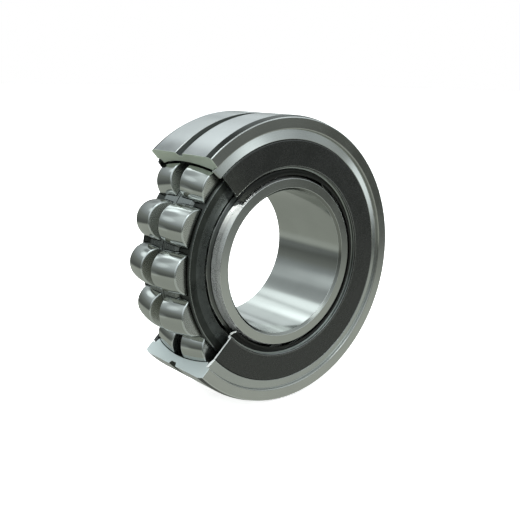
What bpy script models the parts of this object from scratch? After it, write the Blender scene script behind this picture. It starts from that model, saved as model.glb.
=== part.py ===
"""Sealed spherical roller bearing, 40 x 80 x 28 mm, with a display cut-away.

Frame: the bearing axis is Y, the origin is the bearing centre, +Z is up.
The front side faces -Y.  Angles PHI run from +X towards +Z about the axis.
A sector of the outer ring and of both seals is cut out on the -X side, so
the two rows of barrel rollers and their cages can be seen.
"""
import math

import bmesh
import bpy
from mathutils import Matrix, Vector

MM = 0.001

# ---- driving dimensions, millimetres and degrees -----------------------------
OUTER_R = 40.0            # outside radius of the outer ring
BORE_R = 20.0             # shaft bore radius
HALF_W = 14.0             # half of the ring width
LEAD_R = 0.55             # lead-in taper at the outside corners of the outer ring,
LEAD_Y = 1.85             # radially and along the axis
BORE_CHAMFER = 0.7        # bore corners of the inner ring
CUT_TOP = 131.5           # first face of the cut-away
CUT_BOTTOM = 223.2        # second face of the cut-away
RIM_CUT_TOP = 133.1       # where the bare seal rims end at the top
DISC_CUT_TOP = 131.7      # where the seal discs end at the top

SPHERE_R = 37.0           # spherical raceway of the outer ring, about the origin
RACE_HALF_W = 12.05       # half width of the spherical raceway
SEAT_R = 36.3             # counterbore that holds a seal
SEAT_DEPTH = 1.55         # its depth below the ring face
GROOVE_HALF_W = 1.4      # lubrication groove round the outside
GROOVE_DEPTH = 1.0
OIL_HOLE_R = 1.1          # lubrication holes through the groove floor
OIL_HOLE_PHI = (20.0, 260.0)

ROLLERS = 16              # rollers in each row
ROLLER_R = 5.5            # largest roller radius
ROLLER_LEN = 9.0
ROLLER_EDGE = 0.35        # edge chamfer of a roller
CONTACT_ANGLE = 10.7
RUN_GAP = 0.18            # clearance between a roller and either raceway

LAND_R = 23.7             # shoulder of the inner ring, where the seal lip runs
RIB_R = 24.7              # small retaining rib beside each inner raceway

CAGE_TOP_R = 32.2         # outside of the cage bars next to the mid-plane
CAGE_LOW_R = 31.2         # outside of the bars next to the flange
CAGE_STEP_Y = 6.0         # where the bars step down
CAGE_IN_R = 25.6          # inner edge of the cage flange
CAGE_SHEET = 0.75         # flange thickness
POCKET_GAP = 0.22         # clearance of a roller in its pocket
CAGE_SPLIT = 0.18         # distance of each cage from the mid-plane

RING_STEPS = 48

# ---- derived sizes --------------------------------------------------------------
SIN_A = math.sin(math.radians(CONTACT_ANGLE))
COS_A = math.cos(math.radians(CONTACT_ANGLE))
CENTRE = SPHERE_R - ROLLER_R - RUN_GAP      # roller centre from the origin
PITCH_R = CENTRE * COS_A
PITCH_Y = CENTRE * SIN_A
ARC_SWEEP = 360.0 - (CUT_BOTTOM - CUT_TOP)  # what is left of the cut rings
ARC_STEPS = 52                              # outer ring
SEAL_STEPS = 40                             # seal pieces


def clear_scene():
    for obj in list(bpy.data.objects):
        bpy.data.objects.remove(obj, do_unlink=True)
    for store in (bpy.data.meshes, bpy.data.materials, bpy.data.curves):
        for block in list(store):
            store.remove(block)


def make_material(name, rgb, metallic, roughness):
    mat = bpy.data.materials.new(name)
    mat.use_nodes = True
    shader = mat.node_tree.nodes["Principled BSDF"]
    shader.inputs["Base Color"].default_value = (*rgb, 1.0)
    shader.inputs["Metallic"].default_value = metallic
    shader.inputs["Roughness"].default_value = roughness
    mat.diffuse_color = (*rgb, 1.0)
    return mat


def radial(phi):
    """Unit vector away from the axis at angle phi, in degrees."""
    f = math.radians(phi)
    return Vector((math.cos(f), 0.0, math.sin(f)))


def finish_mesh(bm, name, mat, parent=None, sharp=28.0):
    bmesh.ops.recalc_face_normals(bm, faces=bm.faces)
    mesh = bpy.data.meshes.new(name)
    bm.to_mesh(mesh)
    bm.free()
    mesh.shade_smooth()
    mesh.set_sharp_from_angle(angle=math.radians(sharp))
    if mat is not None:
        mesh.materials.append(mat)
    obj = bpy.data.objects.new(name, mesh)
    bpy.context.scene.collection.objects.link(obj)
    if parent is not None:
        obj.parent = parent
    return obj


def make_empty(name, parent=None):
    obj = bpy.data.objects.new(name, None)
    obj.empty_display_size = 0.01
    bpy.context.scene.collection.objects.link(obj)
    if parent is not None:
        obj.parent = parent
    return obj


def turned(name, profile, mat, parent=None, start=0.0, sweep=360.0, steps=RING_STEPS):
    """Turn a closed (radius, y) profile in millimetres about the Y axis."""
    bm = bmesh.new()
    axis_dir = radial(start)
    ring = [bm.verts.new((axis_dir * r + Vector((0.0, y, 0.0))) * MM) for r, y in profile]
    edges = [bm.edges.new((ring[i], ring[(i + 1) % len(ring)])) for i in range(len(ring))]
    full = abs(sweep - 360.0) < 1e-6
    out = bmesh.ops.spin(
        bm, geom=ring + edges, cent=(0, 0, 0), axis=(0, -1, 0),
        angle=math.radians(sweep), steps=steps, use_merge=full)
    if not full:
        last = [g for g in out["geom_last"] if isinstance(g, bmesh.types.BMVert)]
        bm.faces.new(ring)
        order = []
        for v in ring:
            target = (v.co.x, v.co.y, v.co.z)
            turned_co = Matrix.Rotation(math.radians(sweep), 4, (0, -1, 0)) @ Vector(target)
            order.append(min(last, key=lambda w: (w.co - turned_co).length))
        bm.faces.new(list(reversed(order)))
    bmesh.ops.remove_doubles(bm, verts=bm.verts, dist=1e-7)
    return finish_mesh(bm, name, mat, parent)


def barrel_radius(s):
    """Roller radius at the distance s from its middle: an arc of the sphere radius."""
    return ROLLER_R - (SPHERE_R - math.sqrt(SPHERE_R ** 2 - s * s))


def barrel_profile():
    """Outline of a roller as (radius, s) from one end to the other."""
    half = ROLLER_LEN / 2.0
    body = half - ROLLER_EDGE
    end_r = barrel_radius(body) - ROLLER_EDGE * 0.9
    return [(end_r, -half)] + [(barrel_radius(s), s) for s in (-body, 0.0, body)] + [(end_r, half)]


def add_barrel(bm, profile, sides, matrix, turn=0.0):
    """Add one closed barrel about the local Y axis of the given matrix."""
    rings = []
    for r, s in profile:
        loop = []
        for i in range(sides):
            t = 2.0 * math.pi * i / sides + turn
            loop.append(bm.verts.new(matrix @ (Vector((r * math.cos(t), s, r * math.sin(t))) * MM)))
        rings.append(loop)
    for a, b in zip(rings, rings[1:]):
        for i in range(sides):
            j = (i + 1) % sides
            bm.faces.new((a[i], a[j], b[j], b[i]))
    bm.faces.new(list(reversed(rings[0])))
    bm.faces.new(rings[-1])


def roller_matrix(side, index):
    """Placement of a roller: local X points at the outer contact, local Y is its axis."""
    phi = 180.0 + index * 360.0 / ROLLERS
    e_r = radial(phi)
    e_y = Vector((0.0, 1.0, 0.0))
    contact = e_r * COS_A + e_y * (side * SIN_A)
    axis = e_y * COS_A - e_r * (side * SIN_A)
    third = contact.cross(axis)
    centre = contact * CENTRE * MM
    return Matrix((
        (contact.x, axis.x, third.x, centre.x),
        (contact.y, axis.y, third.y, centre.y),
        (contact.z, axis.z, third.z, centre.z),
        (0.0, 0.0, 0.0, 1.0)))


def outer_ring_profile():
    """Section of the outer ring, as (radius, y), rear half mirrored from the front."""
    half = [
        (OUTER_R - GROOVE_DEPTH, 0.0),
        (OUTER_R - GROOVE_DEPTH, -GROOVE_HALF_W * 0.55),
        (OUTER_R, -GROOVE_HALF_W),
        (OUTER_R, -HALF_W + LEAD_Y),
        (OUTER_R - LEAD_R, -HALF_W),
        (SEAT_R, -HALF_W),
        (SEAT_R, -HALF_W + SEAT_DEPTH),
        (math.sqrt(SPHERE_R ** 2 - RACE_HALF_W ** 2), -RACE_HALF_W),
    ]
    parts = 4
    for i in range(1, parts):
        a = math.asin(RACE_HALF_W / SPHERE_R) * (1.0 - i / parts)
        half.append((SPHERE_R * math.cos(a), -SPHERE_R * math.sin(a)))
    half.append((SPHERE_R, 0.0))
    rear = [(r, -y) for r, y in half[1:-1]]
    return half + list(reversed(rear))


def inner_ring_profile():
    """Section of the inner ring; each raceway follows the roller with the running gap."""
    rear = [
        (BORE_R, HALF_W - BORE_CHAMFER),
        (BORE_R + BORE_CHAMFER, HALF_W),
        (LAND_R - 0.6, HALF_W),
        (LAND_R, HALF_W - 1.3),
        (LAND_R, 10.35),
        (RIB_R, 10.15),
        (RIB_R, 9.75),
    ]
    end = ROLLER_LEN / 2.0 + 0.25
    parts = 4
    for i in range(parts + 1):
        s = end - 2.0 * end * i / parts
        clear = barrel_radius(min(abs(s), end)) + RUN_GAP
        r = PITCH_R - s * SIN_A - clear * COS_A
        y = PITCH_Y + s * COS_A - clear * SIN_A
        if y > 0.35:
            rear.append((r, y))
    front = [(r, -y) for r, y in rear]
    return rear + list(reversed(front))


def cage_profile(side):
    """Section of one cage before its pockets are cut: rim, bars and flange."""
    half = ROLLER_LEN / 2.0
    end_r = PITCH_R - half * SIN_A
    end_y = PITCH_Y + half * COS_A
    slope = SIN_A / COS_A

    def flange_in(r):
        return end_y + slope * (r - end_r) + POCKET_GAP + 0.2

    def flange_out(r):
        return flange_in(r) + CAGE_SHEET

    pts = [
        (CAGE_TOP_R - 1.2, CAGE_SPLIT),
        (CAGE_TOP_R, CAGE_SPLIT),
        (CAGE_TOP_R, CAGE_STEP_Y),
        (CAGE_LOW_R, CAGE_STEP_Y + 0.45),
        (CAGE_LOW_R, flange_out(CAGE_LOW_R) - 0.25),
        (CAGE_LOW_R - 0.25, flange_out(CAGE_LOW_R - 0.25)),
        (CAGE_IN_R, flange_out(CAGE_IN_R)),
        (CAGE_IN_R, flange_in(CAGE_IN_R)),
        (CAGE_LOW_R - 0.95, flange_in(CAGE_LOW_R - 0.95)),
    ]
    return [(r, side * y) for r, y in pts]


def guide_ring_profile():
    """Loose wedge ring between the inner ends of the two roller rows."""
    half = ROLLER_LEN / 2.0
    end_r = PITCH_R + half * SIN_A
    end_y = PITCH_Y - half * COS_A
    slope = SIN_A / COS_A
    low, high = 27.1, 30.6
    w_low = end_y + slope * (low - end_r) - 0.2
    w_high = end_y + slope * (high - end_r) - 0.2
    return [(low, -w_low), (high, -w_high), (high, w_high), (low, w_low)]


def seal_rim_profile(side):
    """Conical steel retaining rim that snaps into the seat of the outer ring."""
    pts = [(36.0, 12.55), (35.95, 13.0), (33.65, 13.6), (33.55, 13.15), (35.3, 12.62)]
    return [(r, side * y) for r, y in pts]


def seal_insert_profile(side):
    """Stamped steel carrier of a seal: flat disc and inner step."""
    pts = [
        (33.35, 13.6), (26.15, 13.6), (26.15, 12.85), (25.75, 12.85), (25.75, 12.35),
        (26.65, 12.35), (26.65, 13.15), (33.35, 13.15),
    ]
    return [(r, side * y) for r, y in pts]


def seal_facing_profile(side):
    """Rubber layer bonded on the outside of the disc; at the rear it covers the rim too."""
    if side < 0:
        pts = [(33.35, 13.7), (33.35, 13.86), (33.2, 13.96), (26.45, 13.96), (26.25, 13.8), (26.25, 13.7)]
    else:
        pts = [(33.7, 13.7), (36.0, 13.11), (36.0, 13.85), (35.89, 13.96), (26.45, 13.96), (26.25, 13.8),
               (26.25, 13.7)]
    return [(r, side * y) for r, y in pts]


def seal_lip_profile(side):
    """Flexible lip that runs on the shoulder of the inner ring."""
    pts = [(25.4, 12.35), (25.4, 12.95), (24.35, 13.9), (24.05, 13.85), (24.1, 13.5), (24.95, 12.35)]
    return [(r, side * y) for r, y in pts]


def cylinder_cutter(name, phis, radius, r_from, r_to, sides=12):
    """Radial pins used only to cut holes."""
    bm = bmesh.new()
    for phi in phis:
        e_r = radial(phi)
        rot = e_r.to_track_quat("Y", "Z").to_matrix().to_4x4()
        place = Matrix.Translation(e_r * (r_from + r_to) / 2.0 * MM) @ rot
        half = (r_to - r_from) / 2.0
        add_barrel(bm, [(radius, -half), (radius, half)], sides, place)
    obj = finish_mesh(bm, name, None)
    obj.hide_render = True
    obj.display_type = "WIRE"
    return obj


def pocket_cutter(name, side, sides=18):
    """Sixteen enlarged rollers used only to cut the pockets of a cage."""
    grow = (ROLLER_R + POCKET_GAP) / math.cos(math.pi / sides) - ROLLER_R
    half = ROLLER_LEN / 2.0
    prof = [(barrel_radius(s) + grow, s * (half + POCKET_GAP) / half)
            for s in (-half, -half / 2.0, 0.0, half / 2.0, half)]
    bm = bmesh.new()
    for k in range(ROLLERS):
        add_barrel(bm, prof, sides, roller_matrix(side, k))
    obj = finish_mesh(bm, name, None)
    obj.hide_render = True
    obj.display_type = "WIRE"
    return obj


def cut(obj, cutter, name):
    mod = obj.modifiers.new(name, "BOOLEAN")
    mod.operation = "DIFFERENCE"
    mod.solver = "EXACT"
    mod.object = cutter
    return mod


def build():
    clear_scene()
    ground = make_material("ground_steel", (0.36, 0.38, 0.36), 1.0, 0.32)
    polished = make_material("polished_steel", (0.55, 0.57, 0.55), 1.0, 0.2)
    roller_steel = make_material("roller_steel", (0.6, 0.62, 0.61), 1.0, 0.15)
    cage_steel = make_material("cage_steel", (0.1, 0.12, 0.11), 0.8, 0.42)
    guide_steel = make_material("guide_steel", (0.3, 0.31, 0.3), 1.0, 0.4)
    insert_steel = make_material("insert_steel", (0.62, 0.65, 0.63), 1.0, 0.28)
    rubber = make_material("seal_rubber", (0.028, 0.03, 0.027), 0.0, 0.5)

    root = make_empty("bearing")
    tilt_x = make_empty("tilt_about_x", root)
    tilt_z = make_empty("tilt_about_z", tilt_x)
    inner_axis = make_empty("inner_axis", tilt_z)
    front_axis = make_empty("front_cage_axis", tilt_z)
    rear_axis = make_empty("rear_cage_axis", tilt_z)
    guide_axis = make_empty("guide_axis", tilt_z)

    arc = {"start": CUT_BOTTOM, "sweep": 360.0 - CUT_BOTTOM + DISC_CUT_TOP, "steps": SEAL_STEPS}
    rim_arc = {"start": CUT_BOTTOM, "sweep": 360.0 - CUT_BOTTOM + RIM_CUT_TOP, "steps": SEAL_STEPS}
    outer = turned("outer_ring", outer_ring_profile(), ground, root,
                   start=CUT_BOTTOM, sweep=ARC_SWEEP, steps=ARC_STEPS)
    holes = cylinder_cutter("oil_hole_cutter", OIL_HOLE_PHI, OIL_HOLE_R, SPHERE_R - 2.0, OUTER_R + 1.0)
    cut(outer, holes, "oil_holes")

    for side, row in ((-1, "front"), (1, "rear")):
        turned(row + "_seal_rim", seal_rim_profile(side), insert_steel, root, **rim_arc)
        turned(row + "_seal_insert", seal_insert_profile(side), insert_steel, root, **arc)
        turned(row + "_seal_facing", seal_facing_profile(side), rubber, root, **arc)
        turned(row + "_seal_lip", seal_lip_profile(side), rubber,
               tilt_x if side < 0 else tilt_z, **arc)

    turned("inner_ring", inner_ring_profile(), polished, inner_axis, steps=RING_STEPS)
    turned("guide_ring", guide_ring_profile(), guide_steel, guide_axis, steps=RING_STEPS)

    for side, row, axis in ((-1, "front", front_axis), (1, "rear", rear_axis)):
        cage = turned(row + "_cage", cage_profile(side), cage_steel, axis, steps=64)
        cut(cage, pocket_cutter(row + "_pocket_cutter", side), "pockets")

    bm = bmesh.new()
    add_barrel(bm, barrel_profile(), 18, Matrix.Identity(4))
    first = finish_mesh(bm, "roller_front_01", roller_steel, front_axis)
    mesh = first.data
    mesh.name = "barrel_roller"
    for side, row, axis in ((-1, "front", front_axis), (1, "rear", rear_axis)):
        for k in range(ROLLERS):
            if side < 0 and k == 0:
                obj = first
            else:
                obj = bpy.data.objects.new("roller_%s_%02d" % (row, k + 1), mesh)
                bpy.context.scene.collection.objects.link(obj)
                obj.parent = axis
            obj.matrix_local = roller_matrix(side, k)
    bpy.context.view_layer.update()


build()
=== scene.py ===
"""Looks of the sealed spherical roller bearing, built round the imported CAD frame.

The bearing axis is Y through the origin, the front face is at y = -14 mm, and
angles PHI run from +X towards +Z.  Lengths below are millimetres unless said.
"""

import math

import bmesh
import bpy
from mathutils import Matrix, Vector


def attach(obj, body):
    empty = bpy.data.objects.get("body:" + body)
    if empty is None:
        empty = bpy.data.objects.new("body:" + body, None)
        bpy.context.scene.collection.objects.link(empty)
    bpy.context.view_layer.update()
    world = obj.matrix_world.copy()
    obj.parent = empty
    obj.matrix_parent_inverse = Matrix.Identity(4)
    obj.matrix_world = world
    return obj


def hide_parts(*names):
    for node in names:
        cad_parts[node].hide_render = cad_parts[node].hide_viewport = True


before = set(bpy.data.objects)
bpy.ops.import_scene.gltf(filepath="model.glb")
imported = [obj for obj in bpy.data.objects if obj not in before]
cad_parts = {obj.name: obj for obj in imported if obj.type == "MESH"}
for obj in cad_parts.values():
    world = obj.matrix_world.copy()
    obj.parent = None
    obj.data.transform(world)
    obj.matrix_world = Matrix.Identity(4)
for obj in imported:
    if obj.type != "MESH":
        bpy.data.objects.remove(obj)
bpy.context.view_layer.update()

MM = 0.001
OUTER_R, HALF_W = 40.0, 14.0
SPHERE_R = 37.0
RACE_R = 36.95          # shown raceway and rollers run closer than the solids do
ROLLER_SHOWN = 0.08
CUT_TOP, CUT_BOTTOM = 131.5, 223.2
RIM_CUT_TOP, DISC_CUT_TOP = 133.1, 131.7
ROLLERS, ROLLER_R, ROLLER_LEN = 16, 5.5, 9.0
RUN_GAP = 0.18
ALPHA = math.radians(10.7)
SIN_A, COS_A = math.sin(ALPHA), math.cos(ALPHA)
CENTRE = SPHERE_R - ROLLER_R - RUN_GAP
PITCH_R, PITCH_Y = CENTRE * COS_A, CENTRE * SIN_A


# ------------------------------------------------------------------ materials
class Graph:
    """Small helper for procedural node materials."""

    def __init__(self, name, metallic, roughness, specular=0.5, coat=0.0):
        self.mat = bpy.data.materials.new(name)
        self.mat.use_nodes = True
        self.tree = self.mat.node_tree
        self.shader = self.tree.nodes["Principled BSDF"]
        self.shader.inputs["Metallic"].default_value = metallic
        self.shader.inputs["Roughness"].default_value = roughness
        self.shader.inputs["Specular IOR Level"].default_value = specular
        self.shader.inputs["Coat Weight"].default_value = coat
        self.shader.inputs["Coat Roughness"].default_value = 0.2
        coord = self.tree.nodes.new("ShaderNodeTexCoord")
        self.split = self.tree.nodes.new("ShaderNodeSeparateXYZ")
        self.link(coord.outputs["Object"], self.split.inputs[0])
        self.object = coord.outputs["Object"]
        x2 = self.math("MULTIPLY", self.split.outputs[0], self.split.outputs[0])
        z2 = self.math("MULTIPLY", self.split.outputs[2], self.split.outputs[2])
        self.radius = self.math("SQRT", self.math("ADD", x2, z2))
        self.y = self.split.outputs[1]

    def link(self, a, b):
        self.tree.links.new(a, b)

    def put(self, value, socket):
        if isinstance(value, (int, float)):
            socket.default_value = value
        else:
            self.link(value, socket)

    def math(self, op, a, b=0.0, c=0.0, clamp=False):
        node = self.tree.nodes.new("ShaderNodeMath")
        node.operation = op
        node.use_clamp = clamp
        self.put(a, node.inputs[0])
        self.put(b, node.inputs[1])
        self.put(c, node.inputs[2])
        return node.outputs[0]

    def ring_lines(self, scale, detail=2.0, across=1.0):
        """Noise that depends only on radius and axial place: turned or ground lines."""
        join = self.tree.nodes.new("ShaderNodeCombineXYZ")
        self.link(self.math("MULTIPLY", self.radius, scale), join.inputs[0])
        self.link(self.math("MULTIPLY", self.y, scale * across), join.inputs[1])
        return self.noise(1.0, detail, 0.6, join.outputs[0])

    def noise(self, scale, detail=2.0, rough=0.5, vector=None):
        node = self.tree.nodes.new("ShaderNodeTexNoise")
        node.inputs["Scale"].default_value = scale
        node.inputs["Detail"].default_value = detail
        node.inputs["Roughness"].default_value = rough
        self.link(vector or self.object, node.inputs["Vector"])
        return node.outputs["Fac"]

    def around(self, value, middle, span):
        """middle +- span/2 as value goes from 0.25 to 0.75."""
        return self.math("MULTIPLY_ADD", value, span * 2.0, middle - span)

    def tint(self, dark, light, fac):
        mix = self.tree.nodes.new("ShaderNodeMix")
        mix.data_type = "RGBA"
        mix.inputs["A"].default_value = (*dark, 1.0)
        mix.inputs["B"].default_value = (*light, 1.0)
        self.put(fac, mix.inputs["Factor"])
        return mix.outputs["Result"]

    def colour(self, socket):
        self.link(socket, self.shader.inputs["Base Color"])

    def roughness(self, socket):
        self.link(socket, self.shader.inputs["Roughness"])

    def bump(self, height, strength, distance):
        node = self.tree.nodes.new("ShaderNodeBump")
        node.inputs["Strength"].default_value = strength
        node.inputs["Distance"].default_value = distance
        self.link(height, node.inputs["Height"])
        self.link(node.outputs[0], self.shader.inputs["Normal"])


def scaled(rgb, k):
    return tuple(min(1.0, c * k) for c in rgb)


def steel(name, rgb, rough, line_scale=9000.0, line_depth=0.05, contrast=0.08,
          cloud=0.05, across=1.0, rough_span=0.08, bump_distance=4e-6, metallic=1.0):
    """Turned or ground steel: lines round the axis, cloudy handling marks, fine grain."""
    g = Graph(name, metallic, rough)
    lines = g.ring_lines(line_scale, 3.0, across)
    cloudy = g.noise(95.0, 3.0, 0.55)
    grain = g.noise(5200.0, 2.0, 0.5)
    fac = g.math("ADD", g.around(lines, 0.5, 0.7), g.around(cloudy, 0.0, cloud / max(contrast, 1e-3)), clamp=True)
    g.colour(g.tint(scaled(rgb, 1.0 - contrast), scaled(rgb, 1.0 + contrast), fac))
    r = g.math("ADD", g.around(cloudy, rough, rough_span), g.around(grain, 0.0, 0.03), clamp=True)
    g.roughness(g.math("MAXIMUM", r, 0.03))
    height = g.math("ADD", lines, g.math("MULTIPLY", grain, 0.35))
    g.bump(height, line_depth, bump_distance * 10.0)
    return g.mat


def sawn(name, rgb, rough, metallic=1.0):
    """Milled face of the cut-away: straight fine lines along the face."""
    g = Graph(name, metallic, rough)
    join = g.tree.nodes.new("ShaderNodeCombineXYZ")
    g.link(g.math("MULTIPLY", g.radius, 5200.0), join.inputs[0])
    g.link(g.math("MULTIPLY", g.y, 500.0), join.inputs[1])
    lines = g.noise(1.0, 3.0, 0.6, join.outputs[0])
    cloudy = g.noise(130.0, 2.0, 0.5)
    fac = g.math("ADD", g.around(lines, 0.5, 0.6), g.around(cloudy, 0.0, 0.5), clamp=True)
    g.colour(g.tint(scaled(rgb, 0.95), scaled(rgb, 1.05), fac))
    g.roughness(g.around(lines, rough, 0.06))
    g.bump(lines, 0.05, 3e-5)
    return g.mat


def rubber(name, rgb, rough, specular=1.0):
    """Moulded nitrile rubber: fine grain, faint mould flow, slight bloom."""
    g = Graph(name, 0.0, rough, specular=specular)
    flow = g.ring_lines(1500.0, 2.0)
    grain = g.noise(4200.0, 3.0, 0.6)
    bloom = g.noise(120.0, 3.0, 0.6)
    fac = g.math("ADD", g.around(bloom, 0.45, 0.9), g.around(flow, 0.0, 0.25), clamp=True)
    g.colour(g.tint(scaled(rgb, 0.82), scaled(rgb, 1.25), fac))
    g.roughness(g.math("ADD", g.around(bloom, rough, 0.1), g.around(grain, 0.0, 0.06), clamp=True))
    g.bump(g.math("ADD", grain, g.math("MULTIPLY", flow, 0.6)), 0.12, 2.5e-5)
    return g.mat


def phosphated(name, rgb, light, rough, metallic=0.85):
    """Surface-treated sheet steel with fine crystal grain and rubbed spots; its dark colours are partly the finish
    and partly painted shade.
    """
    g = Graph(name, metallic, rough)
    grain = g.noise(3600.0, 4.0, 0.65)
    rubbed = g.noise(210.0, 3.0, 0.6)
    lines = g.ring_lines(2600.0, 2.0)
    fac = g.math("ADD", g.around(rubbed, 0.4, 0.9), g.around(grain, 0.0, 0.35), clamp=True)
    g.colour(g.tint(rgb, light, fac))
    g.roughness(g.math("ADD", g.around(rubbed, rough, 0.1), g.around(grain, 0.0, 0.1), clamp=True))
    g.bump(g.math("ADD", grain, g.math("MULTIPLY", lines, 0.5)), 0.1, 3e-5)
    return g.mat


M = {
    "od": steel("steel_ground_outside", (0.60, 0.61, 0.61), 0.24, 7000.0, contrast=0.05),
    # painted shade: the ground lead taper is coloured near-black for the dark band it shows
    "lead": steel("steel_lead_taper_painted_shade", (0.06, 0.064, 0.06), 0.2, 9000.0),
    "face": steel("steel_ring_face", (0.62, 0.625, 0.60), 0.13, 6500.0, contrast=0.05, across=0.2, rough_span=0.04),
    # painted highlight: rounded edges are coloured lighter than the faces they join, for the bright lines along
    # them
    "edge": steel("steel_edge_painted_highlight", (0.86, 0.87, 0.86), 0.22, 9000.0, contrast=0.04),
    # painted shade: the groove's walls and floor are coloured far darker than the ground outside, for the shade in
    # the groove
    "groove": steel("steel_groove_wall_painted_shade", (0.07, 0.075, 0.07), 0.4, 6000.0, contrast=0.12),
    "groove_floor": steel("steel_groove_floor_painted_shade", (0.16, 0.17, 0.165), 0.36, 6000.0, contrast=0.12),
    "chamfer": steel("steel_bore_chamfer", (0.34, 0.35, 0.33), 0.2, 7000.0),
    # painted light: the seal seat wall is coloured lighter than the face, to lift the shade in the recess
    "wall": steel("steel_seat_wall_painted_light", (0.70, 0.71, 0.69), 0.38, 7000.0, contrast=0.04),
    # painted light and shade: the cut-away faces are lit and shaded copies; the lower cut ends, which face up, are
    # coloured lighter and less metallic than the upper ones
    "cut_sheet": sawn("steel_cut_sheet_painted_lit", (0.88, 0.91, 0.90), 0.5, 0.6),
    "section_low": sawn("steel_cut_face_lower_painted_lit", (0.63, 0.69, 0.685), 0.55, 0.78),
    "section": sawn("steel_cut_face_upper_painted_shaded", (0.60, 0.66, 0.57), 0.6, 0.94),
    "race": steel("steel_raceway", (0.55, 0.57, 0.55), 0.16, 9000.0, contrast=0.05),
    "rim": steel("steel_seal_rim", (0.62, 0.635, 0.62), 0.15, 5200.0, contrast=0.06, rough_span=0.05),
    "insert": steel("steel_seal_carrier", (0.60, 0.63, 0.61), 0.3, 5200.0),
    "rubber": rubber("rubber_seal_facing", (0.003, 0.0033, 0.0026), 0.27, 1.0),
    "lip": rubber("rubber_seal_lip", (0.004, 0.0045, 0.0035), 0.42, 0.3),
    # painted light: the cut face of the black lip is coloured light grey for the light its section face catches
    "cut_lip": rubber("rubber_cut_lip", (0.45, 0.47, 0.45), 0.5, 0.6),
    # painted highlight: the bead at the facing's inner edge is coloured about ten times lighter than the facing,
    # for the thin bright line along it
    "bead": rubber("rubber_seal_bead_painted_highlight", (0.032, 0.035, 0.03), 0.28),
    "inner_face": steel("steel_inner_face", (0.58, 0.59, 0.56), 0.15, 6500.0, contrast=0.06, across=0.2, rough_span=0.05),
    "inner_taper": steel("steel_inner_taper", (0.52, 0.54, 0.525), 0.28, 9000.0, metallic=0.84),
    "land": steel("steel_inner_land", (0.62, 0.65, 0.63), 0.28, 7000.0, metallic=0.8),
    "bore": steel("steel_bore", (0.53, 0.545, 0.525), 0.12, 7000.0, contrast=0.05, rough_span=0.05),
    # painted light and shade: one dark surface-treated cage steel is split into copies; the flanges are near-black
    # partly from their finish and partly as painted shade, the outer bars lighter where lit, the inner flange band
    # lighter, and the edges light as painted highlight lines
    "cage": phosphated("cage_sheet_steel_painted_shade", (0.022, 0.025, 0.022), (0.05, 0.056, 0.05), 0.32),
    "cage_bar": phosphated("cage_bar_steel_painted_lit", (0.19, 0.205, 0.20), (0.27, 0.29, 0.285), 0.26, 0.97),
    "cage_inner": phosphated("cage_flange_steel_painted_light", (0.05, 0.056, 0.052), (0.10, 0.11, 0.105), 0.3),
    "cage_edge": phosphated("cage_edge_painted_highlight", (0.30, 0.32, 0.31), (0.46, 0.48, 0.47), 0.28, 1.0),
    # used for the guide ring, and on the inner ring's land as painted shade
    "guide": steel("steel_guide_ring_and_painted_land_shade", (0.20, 0.21, 0.20), 0.38, 5000.0),
    "roller": steel("steel_roller", (0.60, 0.62, 0.60), 0.1, 11000.0, line_depth=0.03, contrast=0.03, cloud=0.02, rough_span=0.04),
    "roller_end": steel("steel_roller_end", (0.56, 0.57, 0.54), 0.26, 7000.0, contrast=0.06, across=0.2),
    # painted highlight: the rounded roller edges are coloured lighter than the barrel, for the bright lines between
    # barrel and ends
    "roller_edge": steel("steel_roller_edge_painted_highlight", (0.8, 0.83, 0.82), 0.16, 9000.0, contrast=0.03),
}


# ------------------------------------------------------------------- geometry
def rounded(corners, steps=5):
    """Outline with rounded corners.  A corner is (r, y, fillet, slot after it, slot of the fillet)."""
    out = []
    n = len(corners)
    for i, (r, y, fillet, slot, arc_slot) in enumerate(corners):
        p = Vector((r, y))
        if fillet <= 0.0:
            out.append((r, y, slot))
            continue
        to_last = Vector(corners[i - 1][:2]) - p
        to_next = Vector(corners[(i + 1) % n][:2]) - p
        la, lb = to_last.length, to_next.length
        a, b = to_last / la, to_next / lb
        half = math.acos(max(-1.0, min(1.0, a.dot(b)))) / 2.0
        back = min(fillet / math.tan(half), 0.48 * la, 0.48 * lb)
        radius = back * math.tan(half)
        mid = p + (a + b).normalized() * (radius / math.sin(half))
        u = p + a * back - mid
        v = p + b * back - mid
        turn = math.atan2(u.x * v.y - u.y * v.x, u.dot(v))
        for k in range(steps + 1):
            t = turn * k / steps
            w = Vector((u.x * math.cos(t) - u.y * math.sin(t), u.x * math.sin(t) + u.y * math.cos(t)))
            out.append((mid.x + w.x, mid.y + w.y, arc_slot if k < steps else slot))
    return out


def inset(points, depth):
    """Outline moved inwards by depth."""
    n = len(points)
    area = sum(points[i][0] * points[(i + 1) % n][1] - points[(i + 1) % n][0] * points[i][1] for i in range(n))
    sign = 1.0 if area > 0 else -1.0
    out = []
    for i in range(n):
        p = Vector(points[i])
        a = (p - Vector(points[i - 1])).normalized()
        b = (Vector(points[(i + 1) % n]) - p).normalized()
        na, nb = Vector((-a.y, a.x)) * sign, Vector((-b.y, b.x)) * sign
        m = (na + nb).normalized()
        out.append(tuple(p + m * (depth / max(0.5, m.dot(na)))))
    return out


def finish_piece(name, verts, faces, slots, mats, body, nodes, sharp=38.0, matrix=None):
    mesh = bpy.data.meshes.new(name)
    mesh.from_pydata(verts, [], faces)
    for m in mats:
        mesh.materials.append(M[m])
    mesh.polygons.foreach_set("material_index", slots)
    bm = bmesh.new()
    bm.from_mesh(mesh)
    bmesh.ops.recalc_face_normals(bm, faces=bm.faces)
    bm.to_mesh(mesh)
    bm.free()
    mesh.shade_smooth()
    mesh.set_sharp_from_angle(angle=math.radians(sharp))
    obj = bpy.data.objects.new(name, mesh)
    bpy.context.scene.collection.objects.link(obj)
    if matrix is not None:
        obj.matrix_world = matrix
    weigh(obj)
    claim(obj, body, nodes)
    return obj


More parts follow.
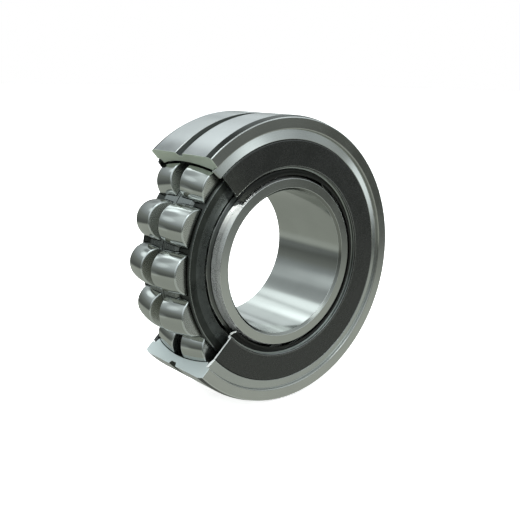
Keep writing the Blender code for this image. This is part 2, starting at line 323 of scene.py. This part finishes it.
def weigh(obj):
    mod = obj.modifiers.new("weighted", "WEIGHTED_NORMAL")
    mod.keep_sharp = True
    mod.weight = 80


def claim(obj, body, nodes):
    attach(obj, body)
    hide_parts(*nodes)


def lathe(name, outline, mats, body, nodes, arc=None, steps=300, bevel=0.12, cap=None, sharp=38.0):
    """Turn an outline about Y.  arc = (start, end) in degrees leaves a cut with softened edges."""
    pts = [(r, y) for r, y, _ in outline]
    seg = [mats.index(s) for _, _, s in outline]
    n = len(pts)
    rings = []
    if arc is None:
        rings = [(360.0 * i / steps, pts) for i in range(steps)]
    else:
        start, end = arc
        sweep = end - start
        count = max(8, int(steps * sweep / 360.0))
        mean = sum(r for r, _ in pts) / n
        ends = []
        for k in range(4):
            t = math.radians(90.0 * k / 3)
            ends.append((math.degrees(bevel * (1.0 - math.cos(t)) / mean), inset(pts, bevel * (1.0 - math.sin(t)))))
        first = ends[-1][0]
        rings += [(start + d, p) for d, p in ends]
        rings += [(start + first + (sweep - 2 * first) * i / count, pts) for i in range(1, count)]
        rings += [(end - d, p) for d, p in reversed(ends)]
    verts = []
    for phi, ring in rings:
        c, s = math.cos(math.radians(phi)), math.sin(math.radians(phi))
        verts += [(r * c * MM, y * MM, r * s * MM) for r, y in ring]
    faces, slots = [], []
    caps = cap if isinstance(cap, tuple) else (cap, cap)
    last = len(rings) if arc is None else len(rings) - 1
    for i in range(last):
        a, b = i * n, ((i + 1) % len(rings)) * n
        at_cut = arc is not None and (i < 3 or i > last - 4)
        for j in range(n):
            k = (j + 1) % n
            faces.append((a + j, a + k, b + k, b + j))
            slots.append(mats.index(caps[0 if i < 3 else 1]) if at_cut else seg[j])
    if arc is not None:
        faces.append(tuple(range(n)))
        faces.append(tuple(reversed(range((len(rings) - 1) * n, len(rings) * n))))
        slots += [mats.index(c) for c in caps]
    return finish_piece(name, verts, faces, slots, list(mats), body, nodes, sharp)


def mirrored(half):
    """Whole outline from its front half; the half's first and last corners lie on y = 0."""
    rear = []
    for i in range(len(half) - 2, 0, -1):
        r, y, f, _, e = half[i]
        rear.append((r, -y, f, half[i - 1][3], e))
    return half + rear


def barrel_radius(s):
    return ROLLER_R - (SPHERE_R - math.sqrt(SPHERE_R ** 2 - s * s))


# outer ring -------------------------------------------------------------------
def sphere_y(a):
    return (RACE_R * math.cos(a), -RACE_R * math.sin(a))


half = [
    (39.0, 0.0, 0.0, "groove_floor", "groove_floor"),
    (39.0, -1.05, 0.3, "groove", "groove"),
    (40.0, -1.65, 0.2, "od", "edge"),
    (40.0, -12.15, 0.9, "lead", "lead"),
    (39.45, -14.0, 0.28, "face", "edge"),
    (36.3, -14.0, 0.3, "seat", "face"),
    (36.3, -12.45, 0.15, "seat", "seat"),
    (math.sqrt(RACE_R ** 2 - 12.05 ** 2), -12.05, 0.15, "race", "race"),
]
half = [(r, y, f, "wall" if s == "seat" else s, "wall" if e == "seat" else e) for r, y, f, s, e in half]
a0 = math.asin(12.05 / RACE_R)
for i in range(1, 22):
    r, y = sphere_y(a0 * (1.0 - i / 22))
    half.append((r, y, 0.0, "race", "race"))
half.append((RACE_R, 0.0, 0.0, "race", "race"))
outline = [(r, y, 0.8 if y > 13.9 and r > 39.0 else f, "groove_floor" if s == "groove" and 0.0 < y < 1.5 else s, e)
           for r, y, f, s, e in mirrored(half)]
outer = lathe("vis_outer_ring", rounded(outline),
              ("od", "lead", "face", "edge", "groove", "groove_floor", "race", "section", "section_low", "wall"),
              "outer_ring", ["outer_ring"],
              arc=(CUT_BOTTOM, 360.0 + CUT_TOP), steps=360, bevel=0.14, cap=("section_low", "section"))


def pins(name, places, radius, r_from, r_to, sides=28):
    """Hidden radial cutters for the lubrication holes."""
    verts, faces = [], []
    for phi in places:
        c, s = math.cos(math.radians(phi)), math.sin(math.radians(phi))
        base = len(verts)
        for r in (r_from, r_to):
            for i in range(sides):
                t = 2.0 * math.pi * i / sides
                u, v = radius * math.cos(t), radius * math.sin(t)
                verts.append(((r * c - u * s) * MM, v * MM, (r * s + u * c) * MM))
        for i in range(sides):
            j = (i + 1) % sides
            faces.append((base + i, base + j, base + sides + j, base + sides + i))
        faces.append(tuple(range(base, base + sides)))
        faces.append(tuple(range(base + 2 * sides - 1, base + sides - 1, -1)))
    mesh = bpy.data.meshes.new(name)
    mesh.from_pydata(verts, [], faces)
    return mesh


def recalc(mesh):
    bm = bmesh.new()
    bm.from_mesh(mesh)
    bmesh.ops.recalc_face_normals(bm, faces=bm.faces)
    bm.to_mesh(mesh)
    bm.free()


def bite(obj, mesh, sharp=38.0):
    """Cut mesh out of obj and keep the result as its own mesh."""
    cutter = bpy.data.objects.new(mesh.name, mesh)
    bpy.context.scene.collection.objects.link(cutter)
    recalc(mesh)
    for m in obj.data.materials:
        mesh.materials.append(m)
    weighted = obj.modifiers["weighted"]
    obj.modifiers.remove(weighted)
    mod = obj.modifiers.new("cut", "BOOLEAN")
    mod.operation, mod.solver, mod.object = "DIFFERENCE", "EXACT", cutter
    bpy.context.view_layer.update()
    graph = bpy.context.evaluated_depsgraph_get()
    result = bpy.data.meshes.new_from_object(obj.evaluated_get(graph), depsgraph=graph)
    obj.modifiers.remove(mod)
    old = obj.data
    obj.data = result
    result.name = old.name
    bpy.data.meshes.remove(old)
    bpy.data.objects.remove(cutter)
    bpy.data.meshes.remove(mesh)
    result.shade_smooth()
    result.set_sharp_from_angle(angle=math.radians(sharp))
    weigh(obj)


bite(outer, pins("oil_hole_cutter", (20.0, 260.0), 1.1, SPHERE_R - 2.0, OUTER_R + 1.0))

# seals --------------------------------------------------------------------------
for side, row in ((-1, "front"), (1, "rear")):
    def flip(pts):
        return [(r, side * y, f, s, e) for r, y, f, s, e in pts]

    # the rear rim stays under the rear facing, the front one is open to view
    outer_y, inner_y = (13.3, 13.79) if side < 0 else (12.85, 13.62)
    rim = flip([
        (36.28, 12.47, 0.1, "rim", "rim"), (36.28, outer_y, 0.06, "rim", "rim"),
        (33.62, inner_y, 0.16, "rim", "rim"), (33.5, 13.2, 0.1, "rim", "rim"),
        (35.3, 12.55, 0.1, "rim", "rim"),
    ])
    skin = "rim" if side < 0 else "rubber"
    rim = [(r, y, f, skin, skin) for r, y, f, _, _ in rim]
    lathe("vis_%s_seal_rim" % row, rounded(rim), (skin, "cut_sheet", "edge", "rubber"), "outer_ring", ["%s_seal_rim" % row],
          arc=(CUT_BOTTOM, 360.0 + RIM_CUT_TOP), steps=360,
          bevel=0.06, cap=("cut_sheet", "edge") if side < 0 else "rubber")
    insert = flip([
        (33.45, 13.66, 0.08, "insert", "insert"), (26.12, 13.66, 0.22, "insert", "insert"),
        (26.12, 12.86, 0.12, "insert", "insert"), (25.75, 12.86, 0.08, "insert", "insert"),
        (25.75, 12.36, 0.08, "insert", "insert"), (26.62, 12.36, 0.25, "insert", "insert"),
        (26.62, 13.16, 0.12, "insert", "insert"), (33.45, 13.16, 0.08, "insert", "insert"),
    ])
    lathe("vis_%s_seal_carrier" % row, rounded(insert), ("insert", "cut_sheet"), "outer_ring",
          ["%s_seal_insert" % row],
          arc=(CUT_BOTTOM, 360.0 + DISC_CUT_TOP), steps=360, bevel=0.05, cap=("cut_sheet", "insert"))
    if side < 0:
        facing = flip([
            (33.5, 13.68, 0.05, "rubber", "rubber"), (33.42, 13.84, 0.06, "rubber", "rubber"),
            (33.2, 13.97, 0.14, "rubber", "rubber"), (26.6, 13.97, 0.05, "bead", "bead"),
            (26.42, 14.0, 0.05, "rubber", "bead"), (26.18, 13.82, 0.1, "rubber", "rubber"),
            (26.2, 13.68, 0.04, "rubber", "rubber"),
        ])
    else:
        facing = flip([
            (33.7, 13.68, 0.1, "rubber", "rubber"), (36.05, 12.98, 0.05, "rubber", "rubber"),
            (36.1, 13.8, 0.1, "rubber", "rubber"), (35.9, 13.97, 0.1, "rubber", "rubber"),
            (26.6, 13.97, 0.05, "bead", "bead"), (26.42, 14.0, 0.05, "rubber", "bead"),
            (26.18, 13.82, 0.1, "bead", "bead"), (26.2, 13.68, 0.04, "rubber", "rubber"),
        ])
    lathe("vis_%s_seal_facing" % row, rounded(facing), ("rubber", "bead"), "outer_ring",
          ["%s_seal_facing" % row],
          arc=(CUT_BOTTOM, 360.0 + DISC_CUT_TOP), steps=360, bevel=0.05, cap="rubber")
    lip = flip([
        (25.58, 12.3, 0.08, "lip", "lip"), (25.58, 12.93, 0.1, "lip", "lip"),
        (25.0, 13.2, 0.3, "lip", "lip"), (24.4, 13.93, 0.14, "lip", "lip"),
        (24.0, 13.88, 0.1, "lip", "lip"), (24.05, 13.5, 0.15, "lip", "lip"),
        (24.95, 12.3, 0.1, "lip", "lip"),
    ])
    lathe("vis_%s_seal_lip" % row, rounded(lip), ("lip", "bead", "cut_lip"), "%s_lip" % row,
          ["%s_seal_lip" % row],
          arc=(CUT_BOTTOM, 360.0 + DISC_CUT_TOP), steps=360, bevel=0.05, cap=("cut_lip", "lip"))

# inner ring -----------------------------------------------------------------------
rear = [
    (20.0, 13.3, 0.18, "bore", "edge"),
    (20.7, 14.0, 0.12, "inner_face", "edge"),
    (23.1, 14.0, 0.12, "inner_taper", "edge"),
    (23.62, 12.6, 1.6, "land", "inner_taper"),
    # painted shade: this rear part of the land, mirrored to the front, takes the dark guide slot for the shade
    # there
    (23.76, 10.85, 0.2, "guide", "land"),
    (23.78, 10.35, 0.15, "guide", "guide"),
    (24.7, 10.15, 0.12, "race", "edge"),
    (24.7, 9.75, 0.12, "race", "edge"),
]
edge_end = ROLLER_LEN / 2.0 + 0.25
groove_pts = []
for i in range(19):
    s = edge_end - 2.0 * edge_end * i / 18
    clear = barrel_radius(min(abs(s), edge_end)) + RUN_GAP
    r = PITCH_R - s * SIN_A - clear * COS_A
    y = PITCH_Y + s * COS_A - clear * SIN_A
    if y > 0.35:
        groove_pts.append((r, y, 0.0, "race", "race"))
rear = rear + groove_pts
# corner list runs bore -> rear face -> raceways -> front face; slots belong to the segment after a corner
front = []
for i in range(len(rear) - 1, -1, -1):
    r, y, f, _, e = rear[i]
    front.append((r, -y, f, rear[i - 1][3] if i > 0 else "bore", e))
rear[0] = (20.0, 13.3, 0.18, "bore_edge", "edge")
inner_corners = [(r, y, f, "chamfer" if s == "bore_edge" else s, e) for r, y, f, s, e in rear] + front
# the last front corner goes back along the bore, and the chamfers take the chamfer slot, their rounded corners the
# edge slot with its painted highlight
fixed = []
for i, (r, y, f, s, e) in enumerate(inner_corners):
    if abs(r - 20.7) < 1e-6 and y < 0:
        s = "chamfer"
    fixed.append((r, y, f, s, e))
lathe("vis_inner_ring", rounded(fixed),
      ("bore", "edge", "chamfer", "inner_face", "inner_taper", "land", "race", "guide"),
      "inner_ring", ["inner_ring"], steps=320)

# guide ring --------------------------------------------------------------------------
slope = SIN_A / COS_A
g_end_r, g_end_y = PITCH_R + ROLLER_LEN / 2.0 * SIN_A, PITCH_Y - ROLLER_LEN / 2.0 * COS_A
w_low = g_end_y + slope * (27.1 - g_end_r) - 0.2
w_high = g_end_y + slope * (30.6 - g_end_r) - 0.2
lathe("vis_guide_ring", rounded([
    (27.1, -w_low, 0.15, "guide", "guide"), (30.6, -w_high, 0.2, "guide", "guide"),
    (30.6, w_high, 0.2, "guide", "guide"), (27.1, w_low, 0.15, "guide", "guide")]),
    ("guide",), "guide_ring", ["guide_ring"], steps=300)


# rollers and cages ----------------------------------------------------------------------
def roller_matrix(side, index):
    phi = math.radians(180.0 + index * 360.0 / ROLLERS)
    e_r = Vector((math.cos(phi), 0.0, math.sin(phi)))
    e_y = Vector((0.0, 1.0, 0.0))
    contact = e_r * COS_A + e_y * (side * SIN_A)
    axis = e_y * COS_A - e_r * (side * SIN_A)
    third = contact.cross(axis)
    c = contact * CENTRE * MM
    return Matrix((
        (contact.x, axis.x, third.x, c.x), (contact.y, axis.y, third.y, c.y),
        (contact.z, axis.z, third.z, c.z), (0.0, 0.0, 0.0, 1.0)))


def barrel_rows(grow=0.0, stretch=1.0, rings=24):
    """Outline of a roller from one end to the other, with its edges rounded, as (radius, s, slot)."""
    half_len = ROLLER_LEN / 2.0 * stretch
    rows = [(0.9, -half_len, "roller_end"), (barrel_radius(4.0) * 0.55, -half_len, "roller_end")]
    edge = 0.36
    rim_r = barrel_radius(half_len - edge) + grow
    for k in range(7):
        t = math.radians(90.0 * k / 6)
        rows.append((rim_r - edge * (1.0 - math.sin(t)), -half_len + edge * (1.0 - math.cos(t)),
                     "roller_edge" if k < 6 else "roller"))
    for k in range(1, rings):
        s = (half_len - edge) * (2.0 * k / rings - 1.0)
        rows.append((barrel_radius(s) + grow, s, "roller"))
    for k in range(6, -1, -1):
        t = math.radians(90.0 * k / 6)
        rows.append((rim_r - edge * (1.0 - math.sin(t)), half_len - edge * (1.0 - math.cos(t)),
                     "roller_edge" if k > 0 else "roller_end"))
    rows += [(barrel_radius(4.0) * 0.55, half_len, "roller_end"), (0.9, half_len, "roller_end")]
    return rows


def barrel_mesh(name, rows, sides, matrices=None):
    verts, faces, slots = [], [], []
    mats = ("roller", "roller_edge", "roller_end")
    for m in matrices or [Matrix.Identity(4)]:
        base = len(verts)
        n = sides
        for r, s, _ in rows:
            for i in range(n):
                t = 2.0 * math.pi * i / n
                verts.append(tuple(m @ Vector((r * math.cos(t) * MM, s * MM, r * math.sin(t) * MM))))
        for k in range(len(rows) - 1):
            a, b = base + k * n, base + (k + 1) * n
            for i in range(n):
                j = (i + 1) % n
                faces.append((a + i, a + j, b + j, b + i))
                slots.append(mats.index(rows[k][2]))
        faces.append(tuple(range(base + n - 1, base - 1, -1)))
        faces.append(tuple(range(base + (len(rows) - 1) * n, base + len(rows) * n)))
        slots += [2, 2]
    mesh = bpy.data.meshes.new(name)
    mesh.from_pydata(verts, [], faces)
    return mesh, slots, mats


roller_mesh, slots, mats = barrel_mesh("vis_barrel_roller", barrel_rows(ROLLER_SHOWN), 64)
for m in mats:
    roller_mesh.materials.append(M[m])
roller_mesh.polygons.foreach_set("material_index", slots)
recalc(roller_mesh)
roller_mesh.shade_smooth()
roller_mesh.set_sharp_from_angle(angle=math.radians(38.0))

for side, row in ((-1, "front"), (1, "rear")):
    def flange_in(r):
        end_r = PITCH_R - ROLLER_LEN / 2.0 * SIN_A
        end_y = PITCH_Y + ROLLER_LEN / 2.0 * COS_A
        return end_y + slope * (r - end_r) + 0.42

    def flange_out(r):
        return flange_in(r) + 0.75

    outline = [
        (31.0, 0.18, 0.0, "cage_edge", "cage_edge"),
        (32.2, 0.18, 0.12, "cage_bar", "cage_edge"),
        (32.2, 6.0, 0.14, "cage_edge", "cage_edge"),
        (31.2, 6.45, 0.2, "cage", "cage"),
        (31.2, flange_out(31.2) - 0.25, 0.3, "cage", "cage_inner"),
        (30.95, flange_out(30.95), 0.25, "cage", "cage_edge"),
        (28.75, flange_out(28.75), 0.3, "cage_inner", "cage_edge"),
        (25.6, flange_out(25.6), 0.2, "cage_inner", "cage_edge"),
        (25.6, flange_in(25.6), 0.1, "cage", "cage"),
        (30.25, flange_in(30.25), 0.0, "cage", "cage"),
    ]
    outline = [(r, side * y, f, s, e) for r, y, f, s, e in outline]
    cage = lathe("vis_%s_cage" % row, rounded(outline), ("cage", "cage_bar", "cage_edge", "cage_inner"),
                 "%s_cage" % row, ["%s_cage" % row], steps=320)
    grow = 0.22
    rows = []
    for k in range(13):
        s = ROLLER_LEN / 2.0 * (2.0 * k / 12 - 1.0)
        rows.append((barrel_radius(s) + grow, s * (ROLLER_LEN / 2.0 + grow) / (ROLLER_LEN / 2.0), "roller"))
    cutter, _, _ = barrel_mesh("%s_pocket_cutter" % row, rows, 40,
                               [roller_matrix(side, k) for k in range(ROLLERS)])
    bite(cage, cutter)
    for k in range(ROLLERS):
        node = "roller_%s_%02d" % (row, k + 1)
        obj = bpy.data.objects.new("vis_" + node, roller_mesh)
        bpy.context.scene.collection.objects.link(obj)
        obj.matrix_world = roller_matrix(side, k)
        weigh(obj)
        claim(obj, node, [node])

# ------------------------------------------------------------------------ stage
floor_mesh = bpy.data.meshes.new("floor")
size = 6.0
floor_mesh.from_pydata([(-size, -size, -0.0401), (size, -size, -0.0401), (size, size, -0.0401),
                        (-size, size, -0.0401)], [], [(0, 1, 2, 3)])
floor = bpy.data.objects.new("floor", floor_mesh)
bpy.context.scene.collection.objects.link(floor)
fg = Graph("floor_pale", 0.0, 0.9, specular=0.1)
fg.colour(fg.tint((0.86, 0.86, 0.86), (0.9, 0.9, 0.9), fg.noise(3.0)))
fg.shader.inputs["Emission Color"].default_value = (1.0, 1.0, 1.0, 1.0)
fg.shader.inputs["Emission Strength"].default_value = 0.8
floor_mesh.materials.append(fg.mat)
floor.visible_glossy = False

world = bpy.data.worlds.new("studio")
bpy.context.scene.world = world
world.use_nodes = True
wt = world.node_tree
for node in list(wt.nodes):
    wt.nodes.remove(node)


def wnode(kind, **values):
    node = wt.nodes.new(kind)
    for k, v in values.items():
        setattr(node, k, v)
    return node


out = wnode("ShaderNodeOutputWorld")
coord = wnode("ShaderNodeTexCoord")
direction = wnode("ShaderNodeVectorMath", operation="NORMALIZE")
wt.links.new(coord.outputs["Generated"], direction.inputs[0])
sep = wnode("ShaderNodeSeparateXYZ")
wt.links.new(direction.outputs[0], sep.inputs[0])
height = wnode("ShaderNodeMapRange")
height.inputs["From Min"].default_value = -1.0
height.inputs["From Max"].default_value = 1.0
wt.links.new(sep.outputs[2], height.inputs["Value"])
ramp = wnode("ShaderNodeValToRGB")
wt.links.new(height.outputs[0], ramp.inputs[0])
OLIVE, GREY, COOL = (0.965, 1.03, 0.92), (0.97, 1.05, 0.98), (0.93, 1.02, 1.03)
# brightness of the studio by elevation in degrees: floor, dark horizon, bright upper part
STOPS = [
    (-90, 0.34, OLIVE), (-30, 0.36, OLIVE), (-15.5, 0.39, OLIVE), (-13, 0.22, OLIVE), (-11.5, 0.10, GREY),
    (-6, 0.12, GREY), (0, 0.17, GREY), (6, 0.22, GREY), (12, 0.33, COOL), (18, 0.44, COOL), (25, 0.58, COOL),
    (36, 0.72, COOL), (50, 0.85, COOL), (60, 0.6, COOL), (67, 0.2, GREY), (90, 0.16, GREY),
]
while len(ramp.color_ramp.elements) < len(STOPS):
    ramp.color_ramp.elements.new(0.5)
for e, (deg, level, tone) in zip(ramp.color_ramp.elements, STOPS):
    e.position = (math.sin(math.radians(deg)) + 1.0) / 2.0
    e.color = (*[level * t for t in tone], 1.0)
total = ramp.outputs[0]
# soft reflector panels: azimuth from the front (-Y) towards +X, elevation, half width, added brightness
PANELS = [
    (195, 27, 8, 0.65), (168, 40, 8, 0.7), (158, 48, 9, 0.6), (228, 23, 8, 0.27), (200, 56, 8, 0.4),
    (212, 40, 11, -0.3), (160, 22, 6, -0.2), (221, -13, 8, 0.1), (179, 32, 6, -0.35), (190, 46, 7, 0.75),
    (142, 16, 6, 0.45), (152, 30, 9, 0.3), (125, 40, 14, 0.3), (138, 4, 6, 0.08),
    (27, 9, 6, 0.3), (32, 8, 5, 0.95), (39, 8, 6, 0.3), (26, -4, 4, 0.2), (60, -3, 7, 1.15), (47, -6, 5, -0.08), (51, 6, 6, 0.2),
    (44, -34, 30, 0.07), (33, -13, 6, 0.12), (257, 72, 12, 2.0), (344, 55, 12, 1.5),
]
for azimuth, elevation, half_width, level in PANELS:
    a, b = math.radians(azimuth), math.radians(elevation)
    dot = wnode("ShaderNodeVectorMath", operation="DOT_PRODUCT")
    wt.links.new(direction.outputs[0], dot.inputs[0])
    dot.inputs[1].default_value = (math.sin(a) * math.cos(b), -math.cos(a) * math.cos(b), math.sin(b))
    rng = wnode("ShaderNodeMapRange", interpolation_type="SMOOTHSTEP")
    rng.inputs["From Min"].default_value = math.cos(math.radians(half_width * 1.25))
    rng.inputs["From Max"].default_value = math.cos(math.radians(half_width * 0.45))
    wt.links.new(dot.outputs["Value"], rng.inputs["Value"])
    comb = wnode("ShaderNodeCombineXYZ")
    for i in range(3):
        wt.links.new(rng.outputs[0], comb.inputs[i])
    mul = wnode("ShaderNodeVectorMath", operation="MULTIPLY_ADD")
    wt.links.new(comb.outputs[0], mul.inputs[0])
    mul.inputs[1].default_value = tuple(level * t for t in COOL)
    wt.links.new(total, mul.inputs[2])
    total = mul.outputs[0]
floor_level = wnode("ShaderNodeVectorMath", operation="MAXIMUM")
wt.links.new(total, floor_level.inputs[0])
floor_level.inputs[1].default_value = (0.05, 0.05, 0.05)
total = floor_level.outputs[0]
glossy = wnode("ShaderNodeBackground")
wt.links.new(total, glossy.inputs[0])
glossy.inputs[1].default_value = 1.0
white = wnode("ShaderNodeBackground")
white.inputs[0].default_value = (1.0, 1.0, 1.0, 1.0)
white.inputs[1].default_value = 1.0
path = wnode("ShaderNodeLightPath")
pick = wnode("ShaderNodeMixShader")
wt.links.new(path.outputs["Is Camera Ray"], pick.inputs[0])
wt.links.new(glossy.outputs[0], pick.inputs[1])
wt.links.new(white.outputs[0], pick.inputs[2])
wt.links.new(pick.outputs[0], out.inputs[0])


def softbox(name, direction, distance, width, tall, power, rgb=(1.0, 1.0, 1.0)):
    light = bpy.data.lights.new(name, "AREA")
    light.shape = "RECTANGLE"
    light.size, light.size_y = width, tall
    light.energy = power
    light.color = rgb
    obj = bpy.data.objects.new(name, light)
    d = Vector(direction).normalized()
    obj.location = d * distance
    obj.rotation_mode = "QUATERNION"
    obj.rotation_quaternion = (-d).to_track_quat("-Z", "Y")
    obj.visible_camera = False
    obj.visible_glossy = False
    bpy.context.scene.collection.objects.link(obj)
    return obj


softbox("key_upper_left", (-0.6, -0.5, 0.8), 1.2, 0.6, 0.6, 9.0)
softbox("top_wide", (0.05, 0.1, 1.0), 1.3, 1.2, 1.2, 22.0)
softbox("fill_front", (0.4, -1.0, 0.5), 1.4, 0.8, 0.6, 4.0)

spot = bpy.data.lights.new("spot_on_shoulder", "SPOT")
spot.energy = 150.0
spot.spot_size, spot.spot_blend = math.radians(1.05), 1.0
spot.shadow_soft_size = 0.004
spot_obj = bpy.data.objects.new("spot_on_shoulder", spot)
target = Vector((-17.2, -11.6, 16.2)) * MM
spot_obj.location = target + Vector((-0.17, -0.27, 0.4))
spot_obj.rotation_mode = "QUATERNION"
spot_obj.rotation_quaternion = (target - spot_obj.location).to_track_quat("-Z", "Y")
spot_obj.visible_camera = False
spot_obj.visible_glossy = False
bpy.context.scene.collection.objects.link(spot_obj)

# ------------------------------------------------------------------------ camera
cam = bpy.data.cameras.new("camera")
cam.sensor_width = 36.0
cam.lens = 55.08
cam.clip_start, cam.clip_end = 0.01, 20.0
cam_obj = bpy.data.objects.new("camera", cam)
bpy.context.scene.collection.objects.link(cam_obj)
az, el, roll = math.radians(-39.3545), math.radians(12.9296), math.radians(0.99)
back = Vector((math.sin(az) * math.cos(el), -math.cos(az) * math.cos(el), math.sin(el)))
right = Vector((0.0, 0.0, 1.0)).cross(back).normalized()
up = back.cross(right)
r2 = right * math.cos(roll) + up * math.sin(roll)
u2 = up * math.cos(roll) - right * math.sin(roll)
place = Vector((-0.14116, -0.17394, 0.04938)) + u2 * 0.00012
cam_obj.matrix_world = Matrix((
    (r2.x, u2.x, back.x, place.x), (r2.y, u2.y, back.y, place.y),
    (r2.z, u2.z, back.z, place.z), (0.0, 0.0, 0.0, 1.0)))
bpy.context.scene.camera = cam_obj
bpy.context.scene.view_settings.view_transform = "Standard"
